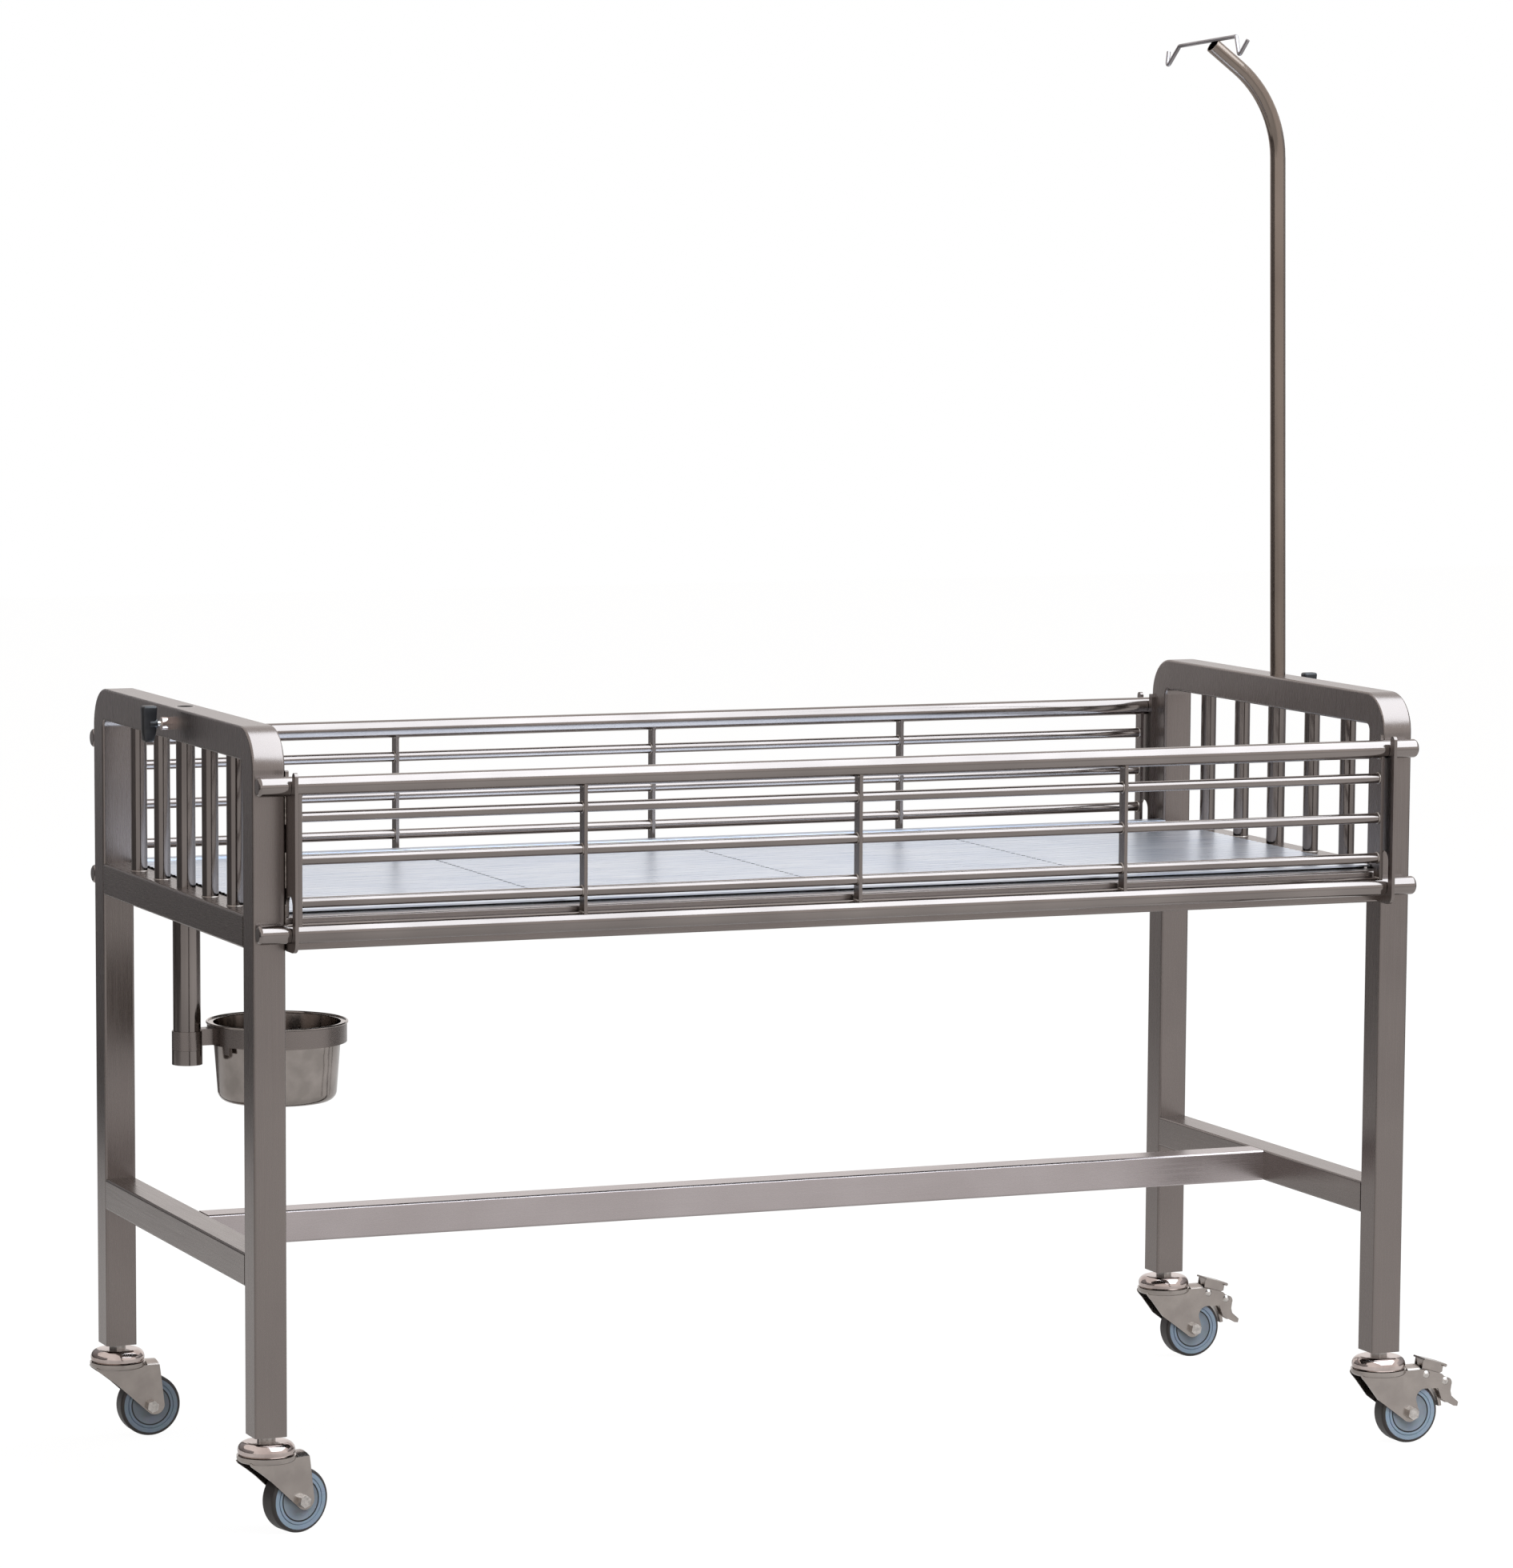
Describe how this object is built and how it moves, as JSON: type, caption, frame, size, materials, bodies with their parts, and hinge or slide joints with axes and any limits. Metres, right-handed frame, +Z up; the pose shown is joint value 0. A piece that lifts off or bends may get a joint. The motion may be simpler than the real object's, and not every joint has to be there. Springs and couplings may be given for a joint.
{
  "type": "veterinary patient trolley",
  "caption": "Stainless clinic trolley on swivel casters with a slatted deck, lift-off bar guards, a clamped drip pole and a swinging bowl holder.",
  "frame": {"origin": "middle of the bounding box in plan, on the floor under the wheels", "axes": "+X along the length towards the drip pole end, +Y across towards the rear guard, +Z up"},
  "size_m": [1.5694, 0.688, 1.6948],
  "materials": {
    "frame_steel": "satin ground stainless tube",
    "deck_steel": "brushed stainless slats, pale and slightly blue",
    "bowl_steel": "polished stainless bowl",
    "caster_steel": "bright plated pressed steel",
    "plated_fasteners": "plated steel screws, nuts and pins",
    "black_plastic": "black moulded plastic",
    "hub_plastic": "blue grey moulded wheel centre",
    "wheel_tread": "grey rubber wheel rim with a dark running face"
  },
  "bodies": {
    "frame": {"left_arch": "frame_steel", "right_arch": "frame_steel", "front_left_leg": "frame_steel", "rear_left_leg": "frame_steel", "front_right_leg": "frame_steel", "rear_right_leg": "frame_steel", "end_rails": "frame_steel", "bed_side_rails": "frame_steel", "stretcher": "frame_steel", "end_spindles": "frame_steel", "pole_sockets": "frame_steel", "leg_inserts": "plated_fasteners", "deck_bearers": "frame_steel", "deck_panels": "deck_steel", "deck_edge_strips": "frame_steel", "guard_brackets": "frame_steel", "clamp_bosses": "frame_steel", "bowl_post": "frame_steel", "bowl_post_stop": "frame_steel", "caster_stems": "plated_fasteners", "caster_nuts": "plated_fasteners", "swivel_domes": "caster_steel", "swivel_balls": "plated_fasteners"},
    "front_guard": {"front_guard_tubes": "frame_steel", "front_guard_bars": "frame_steel", "front_guard_uprights": "frame_steel"},
    "rear_guard": {"rear_guard_tubes": "frame_steel", "rear_guard_bars": "frame_steel", "rear_guard_uprights": "frame_steel"},
    "pole_base": {"pole_foot": "black_plastic"},
    "pole": {"drip_pole": "frame_steel", "hook_rod": "frame_steel"},
    "left_clamp": {"left_knob": "black_plastic", "left_knob_screw": "plated_fasteners"},
    "right_clamp": {"right_knob": "black_plastic", "right_knob_screw": "plated_fasteners"},
    "bowl_holder": {"bowl_bracket": "frame_steel"},
    "bowl_dish": {"bowl": "bowl_steel"},
    "front_left_caster": {"front_left_fork": "caster_steel", "front_left_axle": "plated_fasteners"},
    "front_left_wheel": {"front_left_hub": "hub_plastic", "front_left_tyre": "wheel_tread"},
    "rear_left_caster": {"rear_left_fork": "caster_steel", "rear_left_axle": "plated_fasteners"},
    "rear_left_wheel": {"rear_left_hub": "hub_plastic", "rear_left_tyre": "wheel_tread"},
    "front_right_caster": {"front_right_fork": "caster_steel", "front_right_axle": "plated_fasteners"},
    "front_right_wheel": {"front_right_hub": "hub_plastic", "front_right_tyre": "wheel_tread"},
    "rear_right_caster": {"rear_right_fork": "caster_steel", "rear_right_axle": "plated_fasteners"},
    "rear_right_wheel": {"rear_right_hub": "hub_plastic", "rear_right_tyre": "wheel_tread"},
    "front_brake": {"front_brake_pedal": "caster_steel", "front_brake_shoe": "black_plastic"},
    "front_release": {"front_release_lever": "caster_steel"},
    "rear_brake": {"rear_brake_pedal": "caster_steel", "rear_brake_shoe": "black_plastic"},
    "rear_release": {"rear_release_lever": "caster_steel"}
  },
  "joints": [
    {"name": "front_guard_lift", "type": "slide", "parent": "frame", "child": "front_guard", "axis": [0, 0, 1], "range_m": [0, 0.032]},
    {"name": "rear_guard_lift", "type": "slide", "parent": "frame", "child": "rear_guard", "axis": [0, 0, 1], "range_m": [0, 0.032]},
    {"name": "pole_height", "type": "slide", "parent": "frame", "child": "pole_base", "axis": [0, 0, 1], "range_m": [0, 0.15]},
    {"name": "pole_swivel", "type": "hinge", "parent": "pole_base", "child": "pole", "pos_m": [0.68025, 0, 0.72], "axis": [0, 0, 1], "continuous": true},
    {"name": "left_clamp_turn", "type": "hinge", "parent": "frame", "child": "left_clamp", "pos_m": [-0.76575, 0, 0.893], "axis": [1, 0, 0], "range_deg": [-180, 180]},
    {"name": "right_clamp_turn", "type": "hinge", "parent": "frame", "child": "right_clamp", "pos_m": [0.71425, 0, 0.893], "axis": [1, 0, 0], "range_deg": [-180, 180]},
    {"name": "bowl_swing", "type": "hinge", "parent": "frame", "child": "bowl_holder", "pos_m": [-0.73175, 0, 0.52], "axis": [0, 0, 1], "continuous": true},
    {"name": "bowl_lift_out", "type": "slide", "parent": "bowl_holder", "child": "bowl_dish", "axis": [0, 0, 1], "range_m": [0, 0.1]},
    {"name": "front_left_swivel", "type": "hinge", "parent": "frame", "child": "front_left_caster", "pos_m": [-0.73175, -0.291, 0.1], "axis": [0, 0, 1], "continuous": true},
    {"name": "front_left_roll", "type": "hinge", "parent": "front_left_caster", "child": "front_left_wheel", "pos_m": [-0.69505, -0.28116, 0.0375], "axis": [-0.2588, 0.9659, 0], "continuous": true},
    {"name": "rear_left_swivel", "type": "hinge", "parent": "frame", "child": "rear_left_caster", "pos_m": [-0.73175, 0.291, 0.1], "axis": [0, 0, 1], "continuous": true},
    {"name": "rear_left_roll", "type": "hinge", "parent": "rear_left_caster", "child": "rear_left_wheel", "pos_m": [-0.69375, 0.291, 0.0375], "axis": [0, 1, 0], "continuous": true},
    {"name": "front_right_swivel", "type": "hinge", "parent": "frame", "child": "front_right_caster", "pos_m": [0.68025, -0.291, 0.1], "axis": [0, 0, 1], "continuous": true},
    {"name": "front_right_roll", "type": "hinge", "parent": "front_right_caster", "child": "front_right_wheel", "pos_m": [0.71825, -0.291, 0.0375], "axis": [0, 1, 0], "continuous": true},
    {"name": "rear_right_swivel", "type": "hinge", "parent": "frame", "child": "rear_right_caster", "pos_m": [0.68025, 0.291, 0.1], "axis": [0, 0, 1], "continuous": true},
    {"name": "rear_right_roll", "type": "hinge", "parent": "rear_right_caster", "child": "rear_right_wheel", "pos_m": [0.71825, 0.291, 0.0375], "axis": [0, 1, 0], "continuous": true},
    {"name": "front_brake_press", "type": "hinge", "parent": "front_right_caster", "child": "front_brake", "pos_m": [0.73825, -0.291, 0.0835], "axis": [0, 1, 0], "range_deg": [0, 4.8]},
    {"name": "front_brake_release", "type": "hinge", "parent": "front_right_caster", "child": "front_release", "pos_m": [0.76425, -0.291, 0.074], "axis": [0, -1, 0], "range_deg": [0, 7.5]},
    {"name": "rear_brake_press", "type": "hinge", "parent": "rear_right_caster", "child": "rear_brake", "pos_m": [0.73825, 0.291, 0.0835], "axis": [0, 1, 0], "range_deg": [0, 4.8]},
    {"name": "rear_brake_release", "type": "hinge", "parent": "rear_right_caster", "child": "rear_release", "pos_m": [0.76425, 0.291, 0.074], "axis": [0, -1, 0], "range_deg": [0, 7.5]}
  ],
  "couplings": [
    {"joint": "front_brake_release", "follows": "front_brake_press", "ratio": 1.5},
    {"joint": "rear_brake_release", "follows": "rear_brake_press", "ratio": 1.5}
  ]
}
